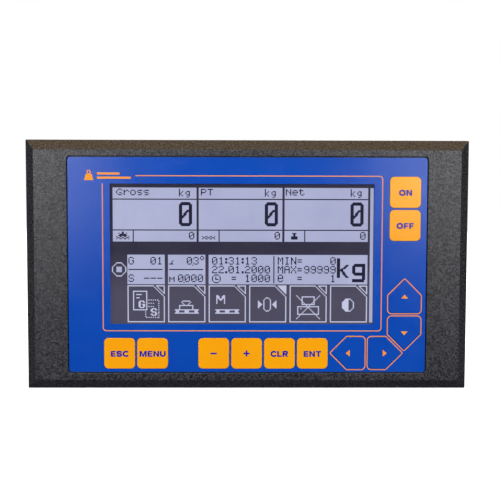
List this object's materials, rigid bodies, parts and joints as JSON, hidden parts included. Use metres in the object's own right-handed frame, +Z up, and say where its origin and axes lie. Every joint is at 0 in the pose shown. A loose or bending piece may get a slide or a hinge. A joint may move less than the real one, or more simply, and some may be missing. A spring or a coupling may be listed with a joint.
{
  "type": "weighing terminal",
  "caption": "Weighing terminal with a bevelled black housing, a blue membrane keypad with orange keys and a graphic display.",
  "frame": {"origin": "middle of the bottom of the whole terminal's box, sockets included", "axes": "+Z up, front face towards -Y, +X to the right when seen from the front"},
  "size_m": [0.2148, 0.06, 0.1214],
  "materials": {
    "housing": "coarse textured black coating",
    "rubber": "matt",
    "screw_steel": "zinc plated",
    "brass": "turned",
    "overlay": "blue printed polyester film, fine satin",
    "spacer_film": "plain film",
    "circuit_film": "printed film",
    "window": "clear, glossy",
    "sheet_steel": "plated sheet",
    "lcd_glass": "liquid crystal panel",
    "light_guide": "white light guide",
    "circuit_board": "green solder mask",
    "black_plastic": "moulded",
    "cell_steel": "bright steel",
    "ribbon": "flat ribbon",
    "capacitor_can": "sleeved can",
    "nickel": "nickel plated brass",
    "vent_plastic": "moulded",
    "plate": "anodised",
    "dome_steel": "spring steel",
    "key_orange": "orange printed pad",
    "key_blue": "blue printed pad"
  },
  "bodies": {
    "terminal": {"front_frame": "housing", "rear_housing": "housing", "housing_gasket": "rubber", "housing_screws": "screw_steel", "frame_inserts": "brass", "keypad_overlay": "overlay", "keypad_spacer": "spacer_film", "keypad_circuit": "circuit_film", "display_window": "window", "display_gasket": "rubber", "display_bezel": "sheet_steel", "display_glass": "lcd_glass", "display_backlight": "light_guide", "display_board": "circuit_board", "display_screws": "screw_steel", "main_board": "circuit_board", "board_screws": "screw_steel", "processor": "black_plastic", "adc_shield": "sheet_steel", "inclination_sensor": "black_plastic", "buzzer": "black_plastic", "battery_holder": "black_plastic", "coin_cell": "cell_steel", "ribbon_headers": "black_plastic", "display_cable": "ribbon", "supply_capacitors": "capacitor_can", "power_socket": "nickel", "load_cell_socket": "nickel", "data_socket": "nickel", "socket_insulators": "black_plastic", "socket_pins": "brass", "socket_seals": "rubber", "socket_nuts": "nickel", "vent_plug": "vent_plastic", "bracket_inserts": "brass", "rating_plate": "plate", "dome_esc": "dome_steel", "dome_menu": "dome_steel", "dome_minus": "dome_steel", "dome_plus": "dome_steel", "dome_clear": "dome_steel", "dome_enter": "dome_steel", "dome_on": "dome_steel", "dome_off": "dome_steel", "dome_up": "dome_steel", "dome_down": "dome_steel", "dome_left": "dome_steel", "dome_right": "dome_steel"},
    "esc_key": {"key_esc": "key_orange"},
    "menu_key": {"key_menu": "key_orange"},
    "minus_key": {"key_minus": "key_orange"},
    "plus_key": {"key_plus": "key_orange"},
    "clear_key": {"key_clear": "key_orange"},
    "enter_key": {"key_enter": "key_orange"},
    "on_key": {"key_on": "key_orange"},
    "off_key": {"key_off": "key_orange"},
    "up_key": {"key_up": "key_blue"},
    "down_key": {"key_down": "key_blue"},
    "left_key": {"key_left": "key_blue"},
    "right_key": {"key_right": "key_blue"}
  },
  "joints": [
    {"name": "press_esc", "type": "slide", "parent": "terminal", "child": "esc_key", "axis": [0, 1, 0], "range_m": [0, 0.00035], "stiffness_N_per_m": 2000, "deforming": ["dome_esc"]},
    {"name": "press_menu", "type": "slide", "parent": "terminal", "child": "menu_key", "axis": [0, 1, 0], "range_m": [0, 0.00035], "stiffness_N_per_m": 2000, "deforming": ["dome_menu"]},
    {"name": "press_minus", "type": "slide", "parent": "terminal", "child": "minus_key", "axis": [0, 1, 0], "range_m": [0, 0.00035], "stiffness_N_per_m": 2000, "deforming": ["dome_minus"]},
    {"name": "press_plus", "type": "slide", "parent": "terminal", "child": "plus_key", "axis": [0, 1, 0], "range_m": [0, 0.00035], "stiffness_N_per_m": 2000, "deforming": ["dome_plus"]},
    {"name": "press_clear", "type": "slide", "parent": "terminal", "child": "clear_key", "axis": [0, 1, 0], "range_m": [0, 0.00035], "stiffness_N_per_m": 2000, "deforming": ["dome_clear"]},
    {"name": "press_enter", "type": "slide", "parent": "terminal", "child": "enter_key", "axis": [0, 1, 0], "range_m": [0, 0.00035], "stiffness_N_per_m": 2000, "deforming": ["dome_enter"]},
    {"name": "press_on", "type": "slide", "parent": "terminal", "child": "on_key", "axis": [0, 1, 0], "range_m": [0, 0.00035], "stiffness_N_per_m": 2000, "deforming": ["dome_on"]},
    {"name": "press_off", "type": "slide", "parent": "terminal", "child": "off_key", "axis": [0, 1, 0], "range_m": [0, 0.00035], "stiffness_N_per_m": 2000, "deforming": ["dome_off"]},
    {"name": "press_up", "type": "slide", "parent": "terminal", "child": "up_key", "axis": [0, 1, 0], "range_m": [0, 0.00035], "stiffness_N_per_m": 2000, "deforming": ["dome_up"]},
    {"name": "press_down", "type": "slide", "parent": "terminal", "child": "down_key", "axis": [0, 1, 0], "range_m": [0, 0.00035], "stiffness_N_per_m": 2000, "deforming": ["dome_down"]},
    {"name": "press_left", "type": "slide", "parent": "terminal", "child": "left_key", "axis": [0, 1, 0], "range_m": [0, 0.00035], "stiffness_N_per_m": 2000, "deforming": ["dome_left"]},
    {"name": "press_right", "type": "slide", "parent": "terminal", "child": "right_key", "axis": [0, 1, 0], "range_m": [0, 0.00035], "stiffness_N_per_m": 2000, "deforming": ["dome_right"]}
  ]
}
